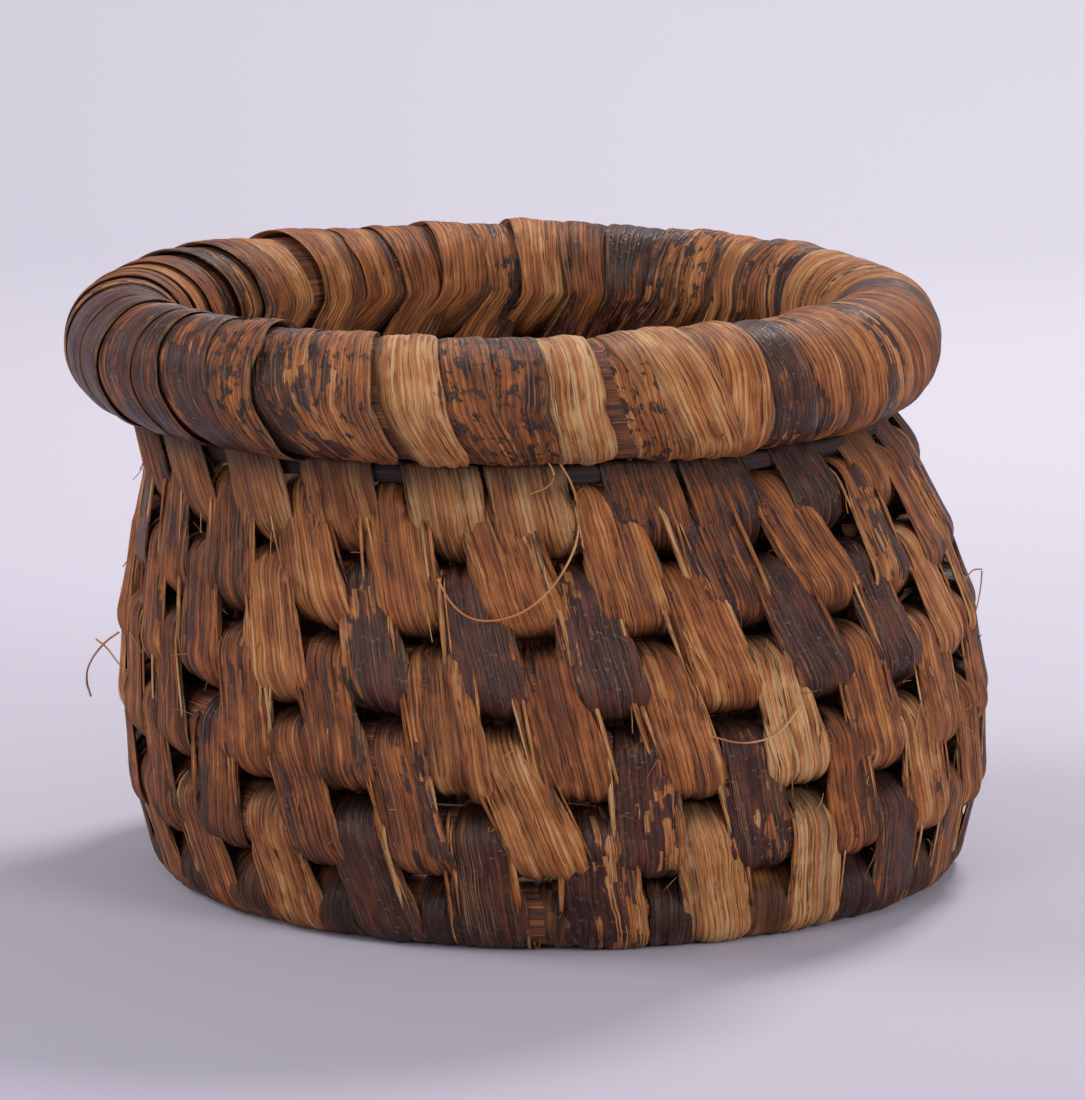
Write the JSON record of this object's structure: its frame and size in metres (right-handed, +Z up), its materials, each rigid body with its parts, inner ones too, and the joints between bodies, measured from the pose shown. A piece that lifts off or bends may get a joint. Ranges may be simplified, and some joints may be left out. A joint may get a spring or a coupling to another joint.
{
  "type": "miniature basket",
  "caption": "Small round coiled basket: a fibre bundle spirals over floor and wall, sewn with broad leaf strips, and a fat wrapped rim leans a little over one side.",
  "frame": {"origin": "middle of the basket's underside, on the ground", "axes": "+Z up through the mouth, +Y away from the viewer, +X to the viewer's right along the longest side, which the leaning rim makes longer"},
  "size_m": [0.0947, 0.0905, 0.0611],
  "materials": {
    "coil_bundle": "rough plant fibre",
    "leaf_strip": "dried leaf, veined, semi-gloss",
    "rim_strip": "dried leaf, veined, semi-gloss"
  },
  "bodies": {
    "root": {"start_knot": "coil_bundle", "foundation_coil": "coil_bundle", "coil_tail": "coil_bundle", "rim_core": "coil_bundle", "floor_stitches_turn_1": "leaf_strip", "floor_stitches_turn_2": "leaf_strip", "floor_stitches_turn_3": "leaf_strip", "wall_stitches_row_1": "leaf_strip", "wall_stitches_row_2": "leaf_strip", "wall_stitches_row_3": "leaf_strip", "wall_stitches_row_4": "leaf_strip", "wall_stitches_row_5": "leaf_strip", "wall_stitches_row_6": "leaf_strip", "rim_wrap_01": "rim_strip", "rim_wrap_02": "rim_strip", "rim_wrap_03": "rim_strip", "rim_wrap_04": "rim_strip", "rim_wrap_05": "rim_strip", "rim_wrap_06": "rim_strip", "rim_wrap_07": "rim_strip", "rim_wrap_08": "rim_strip", "rim_wrap_09": "rim_strip", "rim_wrap_10": "rim_strip", "rim_wrap_11": "rim_strip", "rim_wrap_12": "rim_strip"}
  },
  "joints": []
}
